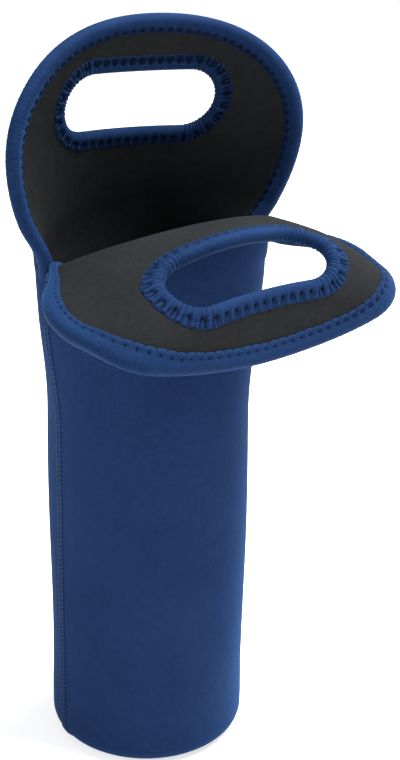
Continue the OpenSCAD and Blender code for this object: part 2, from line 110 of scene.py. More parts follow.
def place_camera():
    across = np.array([math.cos(CAM_YAW), -math.sin(CAM_YAW), 0])
    ahead = np.array([math.sin(CAM_YAW), math.cos(CAM_YAW), 0])
    above = np.array([0, 0, 1.0])
    look = math.cos(CAM_PITCH) * ahead - math.sin(CAM_PITCH) * above
    level_up = np.cross(across, look)
    right = math.cos(CAM_ROLL) * across + math.sin(CAM_ROLL) * level_up
    up = -math.sin(CAM_ROLL) * across + math.cos(CAM_ROLL) * level_up
    eye = (-CAM_BACK * ahead + CAM_UP * above + CAM_SIDE * across) * MM
    data = bpy.data.cameras.new("camera")
    data.lens, data.clip_end = LENS, CAM_REACH
    camera = bpy.data.objects.new("camera", data)
    bpy.context.scene.collection.objects.link(camera)
    axes = np.column_stack([right, up, -look, eye])
    camera.matrix_world = Matrix([*axes.tolist(), [0, 0, 0, 1]])
    bpy.context.scene.camera = camera


place_camera()


def mix(p, q, share):
    return p + (q - p) * share


def eased(v, low, high):
    s = np.clip((v - low) / (high - low), 0, 1)
    return s * s * (3 - 2 * s)


def hill(v, middle, width):
    return np.exp(-((v - middle) / width) ** 2)


# the middle surface of the two panels
def plan(a, spread):
    """The tube's cross-section: round at the foot, and wide at the mouth."""
    t = a / HALF_W
    turn = np.pi / 2 * t - MOUTH_EVEN * spread * np.sin(np.pi * t)
    x = mix(MID_R, MOUTH_W / 2, spread) * np.sin(turn) + MOUTH_SIDE * spread
    return x, mix(MID_R, MOUTH_D / 2, spread) * np.cos(turn)


def panel_pt(side, a, v):
    """A panel below the crotches, down to where it turns in under the base."""
    z = CROTCH_H + v
    spread = eased(z, MOUTH_START, CROTCH_H)
    bend = np.clip(-v - STRAIGHT, 0, EDGE_ARC) / EDGE_MID_R
    shrink = 1 - EDGE_MID_R * (1 - np.cos(bend)) / MID_R
    x, y = plan(a, spread)
    return x * shrink, side * y * shrink, np.maximum(z, EDGE_R) - EDGE_MID_R * np.sin(bend)


def front_flap_pt(a, b):
    """The front flap: up to a crest, over it, out, and down in a droop with splayed wings."""
    t = np.abs(a) / HALF_W
    tc = np.maximum(1 - EASE * np.log1p(np.exp((1 - t) / EASE)), 0)
    side_share = 1 - np.cos(np.pi / 2 * tc)
    droop_share = tc ** DROOP_POWER
    crest = mix(CREST_RISE, CREST_SIDE, side_share) + CREST_SKEW * np.sign(a) * tc - CREST_LEAST
    crest = CREST_LEAST + np.logaddexp(0, crest / CREST_EASE) * CREST_EASE
    crest_r = CREST_R - CREST_PINCH * tc ** PINCH_POWER
    t1 = np.radians(mix(CREST_TURN, CREST_SIDE_TURN, droop_share))
    t2 = np.radians(mix(DROOP_END, DROOP_SIDE_END, droop_share))
    l1 = crest_r * t1
    l2 = DROOP_R * (t2 - t1)
    start = np.maximum(mix(DROOP_RISE, DROOP_SIDE, droop_share), crest + l1)
    over = np.clip(b - crest, 0, l1) / crest_r
    level = np.clip(b - crest - l1, 0, start - crest - l1)
    down = np.clip(b - start, 0, l2) / DROOP_R
    hang = np.maximum(b - start - l2, 0)
    out = (crest_r * (1 - np.cos(over)) + level * np.sin(t1)
           + DROOP_R * (np.cos(t1) - np.cos(t1 + down)) + hang * np.sin(t2))
    rise = (crest_r * np.sin(over) + level * np.cos(t1)
            + DROOP_R * (np.sin(t1 + down) - np.sin(t1)) + hang * np.cos(t2))
    splay = np.radians(np.sign(a) * SPLAY * t ** SPLAY_POWER - TURN)
    spread = eased(b, crest, crest + SPREAD_L + SPREAD_SIDE * tc ** 2)
    turn = a / SPREAD_R
    x0, y0 = plan(a, 1)
    x1 = SPREAD_R * np.sin(turn)
    y1 = MOUTH_D / 2 - SPREAD_R * (1 - np.cos(turn)) * SPREAD_DEPTH
    tuck = (np.where(a > 0, TUCK_RIGHT, TUCK_LEFT) * tc ** TUCK_POWER
            * eased(b, 0, TUCK_L) * (1 - eased(b, TUCK_FADE, TUCK_GONE)))
    right = np.where(a > 0, tc, 0)
    wing = WING * spread * right ** 2 * np.cos(np.pi * (b - WING_TOP) / WING_L)
    return (mix(x0, x1, spread) + out * np.sin(splay),
            -mix(y0, y1, spread) - out * np.cos(splay) - tuck,
            CROTCH_H + np.minimum(b, crest) + rise + DISH * tc ** 2 * spread + wing)


def back_flap_pt(a, b):
    """The back flap: upright, leaning back, with a trough, a little twist and a little sway."""
    t = 1 - (1 - np.clip(b / TROUGH_RISE, 0, 1)) ** TROUGH_EASE
    r = 1 / mix(1 / TROUGH_START_R, 1 / TROUGH_R, t)
    m = eased(b, 0, TROUGH_BLEND)
    x0, y0 = plan(a, 1)
    x = mix(x0, r * np.sin(a / r) + TROUGH_SIDE, m)
    y = mix(y0, MOUTH_D / 2 - r * (1 - np.cos(a / r)), m) - MOUTH_D / 2
    w = TWIST * t
    lean = np.minimum(b, LEAN_R * LEAN) / LEAN_R
    rest = np.maximum(b - LEAN_R * LEAN, 0)
    inward = LEAN_R * (1 - np.cos(lean)) + rest * np.sin(LEAN)
    rise = LEAN_R * np.sin(lean) + rest * np.cos(LEAN)
    return (x * np.cos(w) + y * np.sin(w) + b * m * np.tan(SWAY),
            MOUTH_D / 2 - x * np.sin(w) + y * np.cos(w) - inward,
            CROTCH_H + rise)


def sheet_pt(side, a, v):
    a, v = np.broadcast_arrays(np.asarray(a, float), np.asarray(v, float))
    low = np.stack(panel_pt(side, a, np.minimum(v, 0)), -1)
    flap_pt = front_flap_pt if side == FRONT else back_flap_pt
    high = np.stack(flap_pt(a, np.maximum(v, 0)), -1)
    points = np.where((v < 0)[..., None], low, high)
    leftness = np.clip(-a / HALF_W, 0, 1) ** CROTCH_IN_POWER
    points[..., 0] += CROTCH_IN * hill(v, CROTCH_IN_AT, CROTCH_IN_L) * leftness
    return points


def sheet_normal(side, a, v, step=0.4):
    across = sheet_pt(side, a + step, v) - sheet_pt(side, a - step, v)
    upward = sheet_pt(side, a, v + step) - sheet_pt(side, a, v - step)
    n = -side * np.cross(across, upward)
    return n / np.linalg.norm(n, axis=-1, keepdims=True)


def relief(side, a, v):
    """Soft unevenness of the cloth, the same for both of its faces."""
    wave = (WAVE * np.sin(a / WAVE_A + WAVE_TURN * side) * np.sin(v / WAVE_V + WAVE_START + side)
            + RIPPLE * np.sin(a / RIPPLE_A - v / RIPPLE_V + RIPPLE_TURN * side))
    foot = eased(v, -STRAIGHT + EVEN_FOOT[0], -STRAIGHT + EVEN_FOOT[1])
    mouth = 1 - eased(v, -EVEN_MOUTH, 0)
    seam = eased(HALF_W - np.abs(a), 0, EVEN_SEAM)
    return wave * (foot * mouth * seam + FLAP_SHARE * eased(v, *EVEN_FLAP))


def place(side, a, v, off):
    """Points of a sheet moved outwards from its middle, in metres."""
    off = np.asarray(off + relief(side, a, v))
    return (sheet_pt(side, a, v) + sheet_normal(side, a, v) * off[..., None]) * MM


# places on the flat cut
def half_at(v):
    """Half the cut's width at a height below its round edge."""
    low = HALF_W - CROTCH_INSET * eased(v, -CROTCH_INSET_L, 0)
    return mix(low, FLAP_HALF, np.sin(np.pi / 2 * np.clip(v / WIDE_H, 0, 1)))


def round_edge(side, turn):
    top = FLAP_H + (FRONT_EXTRA if side == FRONT else 0)
    c, s = math.cos(math.radians(turn)), math.sin(math.radians(turn))
    return (FLAP_HALF * math.copysign(abs(c) ** (2 / ROUND_POWER), c),
            WIDE_H + (top - WIDE_H) * s ** (2 / ROUND_POWER))


def lobe(side, turn):
    if turn > 0:
        return round_edge(side, turn)
    b = mix(WIDE_H, FOLD_L[side], turn / LOBE_LOW)
    return float(half_at(b)), b


def outline(side):
    """The cut edge of a flap above its fold, from the fold's left end round."""
    fold = FOLD_L[side]
    half = float(half_at(fold))
    turns = [mix(LOBE_LOW, LOBE_HIGH, k / LOBES) for k in range(LOBES + 1)]
    pts = [(mix(-half, half, c / COLS), fold) for c in range(COLS)]
    pts += [lobe(side, turn) for turn in turns[:-1]]
    pts += [round_edge(side, mix(LOBE_HIGH, 180 - LOBE_HIGH, k / TOPS)) for k in range(TOPS)]
    pts += [(-x, y) for x, y in (lobe(side, turn) for turn in turns[:0:-1])]
    return np.array(pts)


def hole_outline():
    """The hand hole, with as many points as a flap's outline and in the same order."""
    r = HOLE_H / 2
    s = HOLE_L / 2 - r
    ends = [math.radians(180 * k / LOBES - 90) for k in range(LOBES)]
    pts = [(mix(-s, s, c / COLS), HOLE_RISE - r) for c in range(COLS)]
    pts += [(s + r * math.cos(t), HOLE_RISE + r * math.sin(t)) for t in ends]
    pts += [(mix(s, -s, k / TOPS), HOLE_RISE + r) for k in range(TOPS)]
    pts += [(-s - r * math.cos(t), HOLE_RISE - r * math.sin(t)) for t in ends]
    return np.array(pts) - [HOLE_SIDE, 0]


def edge_run(side):
    """The bound edge of a flap, from the right crotch round to the left one."""
    v = np.linspace(0, FOLD_L[side], RUN_ROWS)[:-1]
    right = np.stack([half_at(v), v], -1)
    rim = np.vstack([outline(side)[COLS:], outline(side)[:1]])
    left = np.stack([-half_at(v[::-1]), v[::-1]], -1)
    return np.vstack([right, rim, left])


def run_length(points):
    steps = np.linalg.norm(np.diff(points, axis=0), axis=1)
    return np.concatenate([[0], np.cumsum(steps)])


def along(points, spacing, closed):
    """Evenly spaced places along a run of points on the cloth, and their run lengths."""
    p = np.vstack([points, points[:1]]) if closed else points
    length = run_length(p)
    n = max(int(round(length[-1] / spacing)), 1)
    at = np.linspace(0, length[-1], n + 1)
    return np.stack([np.interp(at, length, p[:, k]) for k in (0, 1)], -1), at


def squeezed(side, a, v, off):
    """A cloth's offset, drawn in towards its bound edges."""
    edges = np.vstack([along(edge_run(side), SQUEEZE_STEP, False)[0],
                       along(hole_outline(), SQUEEZE_STEP, True)[0]])
    marks = np.stack([np.ravel(a), np.ravel(v)], -1)
    gap = np.concatenate([np.sqrt(((part[:, None, :] - edges[None]) ** 2).sum(-1).min(1))
                          for part in np.array_split(marks, SQUEEZE_PARTS)])
    return off * (1 - SQUEEZE * (1 - eased(gap, *SQUEEZE_FADE))).reshape(np.shape(a))


# mesh helpers
def only(obj):
    bpy.ops.object.select_all(action="DESELECT")
    if obj is not None:
        obj.select_set(True)
        bpy.context.view_layer.objects.active = obj


def vertex_places(obj):
    co = np.zeros(len(obj.data.vertices) * 3)
    obj.data.vertices.foreach_get("co", co)
    return co.reshape(-1, 3)


def grid(name, points, uv):
    """A grid primitive laid on rows of points, with its uv in decimetres of cloth."""
    rows, cols = points.shape[:2]
    only(None)
    bpy.ops.mesh.primitive_grid_add(x_subdivisions=cols - 1, y_subdivisions=rows - 1, size=2)
    obj = bpy.context.object
    obj.name = obj.data.name = name
    co = vertex_places(obj)
    i = np.rint((co[:, 0] + 1) / 2 * (cols - 1)).astype(int)
    j = np.rint((co[:, 1] + 1) / 2 * (rows - 1)).astype(int)
    obj.data.vertices.foreach_set("co", points[j, i].ravel())
    loops = np.zeros(len(obj.data.loops), int)
    obj.data.loops.foreach_get("vertex_index", loops)
    flat = np.asarray(uv)[j, i] / 100
    obj.data.uv_layers[0].data.foreach_set("uv", flat[loops].ravel())
    obj.data.update()
    return obj, (j, i)


# stores painted shade on a mesh's points, which the tape's material darkens by
def painted_shade_attribute(obj, values):
    layer = obj.data.attributes.new("painted_shade", "FLOAT", "POINT")
    layer.data.foreach_set("value", np.asarray(values, np.float32).ravel())


def mark_attribute(obj, marks):
    """Keeps each vertex's place on the flat cut, to be read by settle_back."""
    layer = obj.data.attributes.new("mark", "FLOAT_VECTOR", "POINT")
    flat = np.concatenate([marks, np.zeros((len(marks), 1))], 1)
    layer.data.foreach_set("vector", flat.astype(np.float32).ravel())


def joined(name, objs):
    only(objs[0])
    for o in objs:
        o.select_set(True)
    bpy.ops.object.join()
    obj = bpy.context.object
    obj.name = obj.data.name = name
    return obj


def edit(obj, step, **args):
    only(obj)
    bpy.ops.object.mode_set(mode="EDIT")
    bpy.ops.mesh.select_all(action="SELECT")
    step(**args)
    bpy.ops.object.mode_set(mode="OBJECT")


def merged(obj, distance=MERGE):
    edit(obj, bpy.ops.mesh.remove_doubles, threshold=distance)


def faces_out(obj):
    edit(obj, bpy.ops.mesh.normals_make_consistent, inside=False)


def applied(obj, kind, **settings):
    modifier = obj.modifiers.new("step", kind)
    for key, value in settings.items():
        setattr(modifier, key, value)
    only(obj)
    bpy.ops.object.modifier_apply(modifier=modifier.name)


def thick(obj, thickness, outward):
    """Turns a surface so that its first face looks outward, then gives it a wall behind."""
    if np.dot(np.array(obj.data.polygons[0].normal), outward) < 0:
        edit(obj, bpy.ops.mesh.flip_normals)
    applied(obj, "SOLIDIFY", thickness=thickness, offset=-1)


def smooth(obj, angle):
    only(obj)
    bpy.ops.object.shade_smooth_by_angle(angle=math.radians(angle))


def settle_back(obj, side, face, off):
    """Lays the hidden back of a solidified cloth on the sheet, and drops the marks."""
    co = vertex_places(obj)
    marks = np.zeros(co.size, np.float32)
    obj.data.attributes["mark"].data.foreach_get("vector", marks)
    a, v = marks.reshape(-1, 3)[:, 0], marks.reshape(-1, 3)[:, 1]
    front = place(side, a, v, squeezed(side, a, v, face))
    hidden = np.linalg.norm(co - front, axis=1) > BACK_GAP
    co[hidden] = place(side, a[hidden], v[hidden], off)
    obj.data.vertices.foreach_set("co", co.ravel())
    obj.data.attributes.remove(obj.data.attributes["mark"])
    obj.data.update()


# finishes
class Value:
    """A number socket of a finish, so that sums on it read as sums."""

    def __init__(self, finish, socket):
        self.finish, self.socket = finish, socket

    def maths(self, operation, *others):
        return self.finish.node("ShaderNodeMath", {"operation": operation}, [self, *others])

    def __add__(self, other):
        return self.maths("ADD", other)

    def __sub__(self, other):
        return self.maths("SUBTRACT", other)

    def __mul__(self, other):
        return self.maths("MULTIPLY", other)

    def sine(self):
        return self.maths("SINE")

    def clamped(self):
        return self.finish.node("ShaderNodeClamp", {}, [self, 0.0, 1.0])


class Finish:
    """A material, with its nodes added by one method."""

    # the colour sockets of a mix node, which shares its names between kinds
    MIX_SHARE, MIX_A, MIX_B, MIX_OUT = 0, 6, 7, 2

    def __init__(self, name, roughness, **shader):
        self.material = bpy.data.materials.new(name)
        self.material.use_nodes = True
        self.tree = self.material.node_tree
        self.shader = self.tree.nodes["Principled BSDF"]
        for key, value in {"Roughness": roughness, **shader}.items():
            self.shader.inputs[key.replace("_", " ")].default_value = value

    def node(self, kind, settings, inputs, output=0):
        node = self.tree.nodes.new(kind)
        for key, value in settings.items():
            setattr(node, key, value)
        pairs = inputs.items() if isinstance(inputs, dict) else enumerate(inputs)
        for key, value in pairs:
            if isinstance(value, Value):
                self.tree.links.new(value.socket, node.inputs[key])
            elif value is not None:
                node.inputs[key].default_value = value
        return Value(self, node.outputs[output])

    def place(self):
        return self.node("ShaderNodeTexCoord", {}, [], "Object")

    def noise(self, where, scale, detail, roughness=0.5):
        return self.node("ShaderNodeTexNoise", {}, {
            "Vector": where, "Scale": scale, "Detail": detail, "Roughness": roughness})

    def blend(self, share, a, b):
        sockets = {self.MIX_SHARE: share, self.MIX_A: a, self.MIX_B: b}
        return self.node("ShaderNodeMix", {"data_type": "RGBA"}, sockets, self.MIX_OUT)

    # the painted shade stored on the mesh
    def painted_shade(self):
        return self.node("ShaderNodeAttribute", {"attribute_name": "painted_shade"}, [], "Fac")

    def bump(self, height, distance, strength, before=None):
        return self.node("ShaderNodeBump", {}, {
            "Height": height, "Distance": distance, "Strength": strength, "Normal": before})

    def feeds(self, **sockets):
        for key, value in sockets.items():
            self.tree.links.new(value.socket, self.shader.inputs[key.replace("_", " ")])


# a knit's wales and courses in each centimetre, and how far its loops lean
WALES, COURSES, LOOP_LEAN, CM_PER_UV = 11, 14, 1.4, 10
# noises of the cloth, as scale, detail and roughness, and their shares in its colour
CLOUDS, FUZZ, PILE = (26, 3), (900, 2, 0.6), (260, 3, 0.6)
CLOUD_SHARE, FUZZ_SHARE, PILE_SHARE, KNIT_SHARE = 0.7, 0.8, 0.7, 0.10
# bumps of the knit and the pile, as distance and strength
KNIT_BUMP, PILE_BUMP, FUZZ_BUMP = (0.00012, 0.6), (0.0003, 0.5), 0.8
# the swing of the roughness, how dark painted shade gets as a share of the deep colour, and the
# sheen's roughness
ROUGH_SWING, PAINTED_SHADE_DARK, SHEEN_ROUGH = 0.12, 0.25, 0.4


def knit(finish):
    """Height of a plain jersey knit: rows of small loops."""
    uv = finish.node("ShaderNodeUVMap", {"uv_map": "UVMap"}, [])
    u, v = (finish.node("ShaderNodeSeparateXYZ", {}, [uv], axis) for axis in (0, 1))
    turn = 2 * math.pi * CM_PER_UV
    across = (u * (turn * WALES)).sine()
    upward = (v * (turn * COURSES) + across * LOOP_LEAN).sine()
    return across * 0.5 + upward * 0.5


def jersey(name, deep, light, tint, sheen, rough, gloss, painted_dent_shade=False):
    """A knitted cloth's material between two colours. With its last argument set, it is darkened by
    painted shade stored on the mesh where the cloth is dented.
    """
    finish = Finish(name, rough, Specular_IOR_Level=gloss, Sheen_Weight=sheen,
                    Sheen_Roughness=SHEEN_ROUGH, Sheen_Tint=(*tint, 1))
    height = knit(finish)
    where = finish.place()
    clouds, fuzz, pile = (finish.noise(where, *kind) for kind in (CLOUDS, FUZZ, PILE))
    share = ((clouds - 0.5) * CLOUD_SHARE + (fuzz - 0.5) * FUZZ_SHARE
             + (pile - 0.5) * PILE_SHARE + height * KNIT_SHARE + 0.5)
    colour = finish.blend(share.clamped(), (*deep, 1), (*light, 1))
    # painted shade: the colour is darkened towards a share of the deep colour where the stored
    # painted shade lies
    if painted_dent_shade:
        dark = (*[PAINTED_SHADE_DARK * c for c in deep], 1)
        colour = finish.blend(finish.painted_shade().clamped(), colour, dark)
    normal = finish.bump(height * 0.5 + (fuzz - 0.5) * FUZZ_BUMP, *KNIT_BUMP)
    normal = finish.bump(pile, *PILE_BUMP, normal)
    finish.feeds(Base_Color=colour, Normal=normal, Roughness=(pile - 0.5) * ROUGH_SWING + rough)
    return finish.material


NAVY_SHEEN, COAL_SHEEN = (0.10, 0.38, 1), (0.9, 0.95, 1)
navy = jersey("navy_jersey", (0.0064, 0.0163, 0.055), (0.0130, 0.0315, 0.095),
              NAVY_SHEEN, 0.17, 0.8, 0.02)
tape = jersey("navy_tape", (0.0050, 0.0148, 0.051), (0.0110, 0.0332, 0.101),
              NAVY_SHEEN, 0.15, 0.7, 0.035, painted_dent_shade=True)
charcoal = jersey("charcoal_jersey", (0.0092, 0.0101, 0.0109), (0.0200, 0.0220, 0.0238),
                  COAL_SHEEN, 0.0, 0.9, 0.03)
thread = jersey("navy_thread", (0.0070, 0.0210, 0.066), (0.0180, 0.0520, 0.150),
                NAVY_SHEEN, 0.15, 0.55, 0.15)


def finished(obj, material):
    obj.data.materials.clear()
    obj.data.materials.append(material)
    return obj


# the cloths
def cloth(name, side, off, thickness, outward):
    """One face of a panel with its flap, as a continuous cloth with a hand hole."""
    lows = np.concatenate([
        np.linspace(-STRAIGHT - EDGE_ARC, -STRAIGHT, FOOT_ROWS)[:-1],
        np.linspace(-STRAIGHT, 0, TUBE_ROWS)[:-1],
        np.linspace(0, FOLD_L[side], FOLD_ROWS[side]),
    ])
    a = half_at(lows)[:, None] * np.linspace(-1, 1, COLS + 1)[None, :]
    low_marks = np.stack([a, np.repeat(lows[:, None], COLS + 1, 1)], -1)
    rings = np.linspace(0, 1, RINGS)[:, None, None]
    high_marks = outline(side)[None] * (1 - rings) + hole_outline()[None] * rings
    high_marks = np.concatenate([high_marks, high_marks[:, :1]], 1)
    parts = []
    for word, marks in (("_low", low_marks), ("_high", high_marks)):
        a, v = marks[..., 0], marks[..., 1]
        part, at = grid(name + word, place(side, a, v, squeezed(side, a, v, off)), marks)
        mark_attribute(part, marks[at])
        parts.append(part)
    obj = joined(name, parts)
    merged(obj)
    faces_out(obj)
    thick(obj, thickness, outward * np.array(obj.data.polygons[0].center) * [1, 1, 0])
    settle_back(obj, side, off, math.copysign(SPLIT, off))
    smooth(obj, CLOTH_ANGLE)
    return obj


def round_area(p):
    x, y = p[:, 0], p[:, 1]
    return abs(np.dot(x, np.roll(y, 1)) - np.dot(y, np.roll(x, 1))) / 2


def cut_area(side):
    """Area of a panel's flat cut with its flap, in square metres."""
    v = np.linspace(0, FOLD_L[side], 40)
    half = half_at(v)
    fold = np.sum((half[1:] + half[:-1]) * np.diff(v))
    flap = round_area(outline(side)) - round_area(hole_outline())
    return (flap + fold + 2 * HALF_W * (STRAIGHT + EDGE_ARC)) * MM ** 2


cloths = {}
for side, word in ((FRONT, "front"), (BACK, "back")):
    wall = (HALF_WALL - SPLIT) * MM
    cover = finished(cloth(word + "_cover_cloth", side, HALF_WALL, wall, 1), navy)
    lining = finished(cloth(word + "_lining_cloth", side, -HALF_WALL, wall, -1),
                      charcoal)
    cloths[word] = (cover, lining)


# the bindings: a tape's profile is a list of depths from the edge and offsets from the middle
def both_faces(face):
    return face + [(depth, -off) for depth, off in face[::-1]]


ROLL = [(2.0, 3.2), (0.5, 2.95), (-0.8, 1.9), (-1.2, 0.6)]
EDGE_PROFILE = both_faces([(6.8, 2.3), (6.7, 2.85), (6.2, 3.08), (5.6, 3.03), (4.9, 2.95),
                           (4.2, 3.05), *ROLL])
HOLE_PROFILE = both_faces([(6.8, 2.3), (6.7, 2.85), (6.0, 3.12), (5.0, 3.05), (4.2, 2.75),
                           (3.4, 3.05), *ROLL])
PROFILE_N, PROFILE_UV = 40, 0.75
# how an edge is sewn: tape profile, stitch pitch, mesh steps in a stitch, depths of the needle
# row and of the tape's own edge, and depths and offset of the zigzag thread
EDGE_PITCH, EDGE_STEPS = 4.7, 14
EDGE_SEWN = EDGE_PROFILE, EDGE_PITCH, EDGE_STEPS, 4.9, 6.7, (5.1, 7.0, 2.8)
HOLE_SEWN = HOLE_PROFILE, 4.6, 22, 3.0, 6.7, (3.4, 6.9, 2.5)
# needle pit, tick at the tape's edge, slot between two ribs: radius or half length, and depth
PIT_R, PIT, TICK_L, TICK, SLOT_L, SLOT, SLOT_SWING = 0.62, 0.75, 0.45, 0.3, 0.6, 0.34, 0.16
# groove of the row, rise of the ribs, pleats of the roll and of the sewn zone, and the roll's beat
VALLEY, RIB, ROLL_PLEAT, ZONE_PLEAT, ROLL_BEAT, TIP_PLEAT = 0.05, 0.12, 0.20, 0.24, 0.03, 0.14
# where these lie in the tape's depth, from its edge, from the row or back from the tape's own edge
ROLL_AT, ROLL_L, VALLEY_L, SLOT_BACK, SLOT_SHARE = 0.6, 2.2, 0.7, 0.3, 0.62
ZONE_RISE, ZONE_FALL, TICK_RISE, TIP_FALL = (-0.3, 0.7), 0.6, (1.0, 0.2), (-0.5, 1.5)
# notches in the tape's own edge, and its slow wander: heights, and lengths in stitches over 2 pi
NICK, NICK_L, NICK_RISE, WANDER, WANDER_L = 0.4, 0.6, 1.3, (0.10, 0.08), (3.1, 7.3)
# pleats to a stitch, how unevenly they run, and the length over which the bend is gathered
PLEATS, PLEAT_DRIFT, PLEAT_DRIFT_L, SLOT_SWING_L, GATHER_L = 2.6, (1.3, 0.8), (1.7, 4.3), 9.3, 6
# how dark the painted shade is in the pits, ticks, slots and groove and in the back tape's sewn
# zone, and how much of it painted light on the pleat crests takes away
PIT_PAINTED_SHADE, TICK_PAINTED_SHADE, SLOT_PAINTED_SHADE, VALLEY_PAINTED_SHADE = 1.15, 0.6, 0.5, 0.06
ZONE_PAINTED_SHADE, PLEAT_PAINTED_LIGHT = {FRONT: 0, BACK: 0.35}, 0.4
# ladder of slots: its depth by the right crotch and past it, and where it fades in front
LADDER, LADDER_LEAST, LADDER_FADE, BACK_LADDER = 1.0, 0.12, (110, 170), 0.8
TAPE_T = 0.0006
STITCH_R, STITCH_DIVE, THREAD_SINK = 0.00017, 0.0010, 0.35
THREAD_SIDES, THREAD_FLAT, THREAD_ARCH = 6, 0.8, 0.6


def rounded(points, count):
    """A smooth curve through a profile's points, as evenly spaced places."""
    p = np.array(points, float)
    for _ in range(3):
        q = np.empty((2 * len(p) - 2, 2))
        q[0::2] = 0.75 * p[:-1] + 0.25 * p[1:]
        q[1::2] = 0.25 * p[:-1] + 0.75 * p[1:]
        p = np.vstack([p[:1], q, p[-1:]])
    length = run_length(p)
    at = np.linspace(0, length[-1], count)
    return np.stack([np.interp(at, length, p[:, k]) for k in (0, 1)], -1)


def inward_from(run, closed):
    """The direction on the cut from an edge into the cloth, square to the edge."""
    if closed:
        step = np.roll(run[:-1], -1, 0) - np.roll(run[:-1], 1, 0)
        step = np.vstack([step, step[:1]])
    else:
        step = np.gradient(run, axis=0)
    step /= np.linalg.norm(step, axis=1, keepdims=True)
    inward = np.stack([-step[:, 1], step[:, 0]], -1)
    return -inward if closed else inward


def gathered(run, at, closed):
    """How tightly a run bends, from 0 on a straight to 1 round the end of a hand hole."""
    step = np.gradient(run, at, axis=0)
    turn = np.unwrap(np.arctan2(step[:, 1], step[:, 0]))
    bend = np.abs(np.gradient(turn, at)) * HOLE_H / 2
    width = int(round(GATHER_L / (at[1] - at[0])))
    kernel = np.hanning(2 * width + 1)
    bend = np.pad(bend, width, mode="wrap" if closed else "edge")
    return np.clip(np.convolve(bend, kernel / kernel.sum(), mode="valid"), 0, 1)


def binding(name, side, run, at, pitch, inward, closed, sewn, ladder):
    """Tape folded over an edge and drawn in by its stitches, with painted shade in its pits, ticks,
    slots and groove and painted light on its pleat crests. ladder is how deep the slots between the
    ribs are along it, and how much painted shade they get."""
    profile, _, _, row, end, _ = sewn
    prof = rounded(profile, PROFILE_N)
    depth = np.repeat(prof[None, :, 0], len(run), 0)
    off = np.repeat(prof[None, :, 1], len(run), 0)
    phase = (2 * np.pi * at / pitch)[:, None]
    from_pit = (((at / pitch + 0.5) % 1 - 0.5) * pitch)[:, None]
    from_slot = (((at / pitch) % 1 - 0.5) * pitch)[:, None]
    tight = gathered(run, at, closed)[:, None]
    ladder = np.broadcast_to(ladder, at.shape)[:, None]
    beat = np.cos(phase)
    zone = (eased(depth, row + ZONE_RISE[0], row + ZONE_RISE[1])
            * (1 - eased(depth, end - ZONE_FALL, end)))
    roll = hill(depth, ROLL_AT, ROLL_L)
    valley = hill(depth, row, VALLEY_L)
    pit = hill(from_pit, 0, PIT_R) * hill(depth, row, PIT_R)
    tick = hill(from_slot, 0, TICK_L) * eased(depth, end - TICK_RISE[0], end - TICK_RISE[1])
    slot = ((1 - hill(from_slot, 0, SLOT_L))
            * hill(depth, (row + end) / 2 - SLOT_BACK, (end - row) * SLOT_SHARE))
    drift = sum(k * np.sin(phase / s) for k, s in zip(PLEAT_DRIFT, PLEAT_DRIFT_L))
    pleat = np.cos(phase * PLEATS + drift)
    slow = 0.5 + 0.5 * np.sin(phase / SLOT_SWING_L + side)
    fall = (PIT * pit + TICK * tick + ladder * (SLOT + SLOT_SWING * slow) * slot
            + VALLEY * valley - RIB * zone * (1 - beat) / 2
            - tight * pleat * (ROLL_PLEAT * roll + ZONE_PLEAT * zone) + ROLL_BEAT * roll * beat)
    # painted shade in the pits, ticks, slots, groove and the back's sewn zone, lessened by painted
    # light on the pleat crests
    shade = (PIT_PAINTED_SHADE * pit + TICK_PAINTED_SHADE * tick + SLOT_PAINTED_SHADE * ladder * slot + VALLEY_PAINTED_SHADE * valley
             + ZONE_PAINTED_SHADE[side] * zone - PLEAT_PAINTED_LIGHT * tight * pleat * (zone + roll))
    off = off - np.sign(off) * fall
    wander = (WANDER[0] * np.sin(phase / WANDER_L[0] + 1)
              + WANDER[1] * np.sin(phase / WANDER_L[1]))
    nick = NICK * hill(from_slot, 0, NICK_L)
    depth = depth + (wander - nick) * eased(depth, end - NICK_RISE, end)
    depth = depth - TIP_PLEAT * tight * pleat * (1 - eased(depth, *TIP_FALL))
    marks = run[:, None, :] + inward[:, None, :] * depth[..., None]
    points = place(side, marks[..., 0], marks[..., 1], off)
    turns = np.repeat(np.arange(1, PROFILE_N + 1)[:, None] * PROFILE_UV, len(run), 1)
    uv = np.stack([np.repeat(at[None, :], PROFILE_N, 0), turns], -1)
    obj, places = grid(name, points.transpose(1, 0, 2), uv)
    painted_shade_attribute(obj, np.clip(shade, 0, 1).T[places])
    if closed:
        merged(obj, RING_MERGE)
    faces_out(obj)
    thick(obj, TAPE_T, sheet_normal(side, run[0, 0], run[0, 1]))
    smooth(obj, TAPE_ANGLE)
    return obj


def stitch_model():
    """One stitch: a short thread that dives at both ends, along +X from 0 to 1, with radius 1."""
    only(None)
    bpy.ops.mesh.primitive_cylinder_add(vertices=THREAD_SIDES, radius=1, depth=1,
                                        location=(0.5, 0, 0), rotation=(0, math.pi / 2, 0))
    obj = bpy.context.object
    bpy.ops.object.transform_apply(location=True, rotation=True, scale=True)
    edit(obj, bpy.ops.mesh.subdivide, number_cuts=2)
    merged(obj, STITCH_MERGE)
    co = vertex_places(obj)
    lift = np.sin(np.pi * np.clip(co[:, 0], 0, 1)) ** THREAD_ARCH
    faces = [tuple(p.vertices) for p in obj.data.polygons]
    bpy.data.objects.remove(obj)
    return co, lift, faces


STITCH, LIFT, STITCH_FACES = stitch_model()


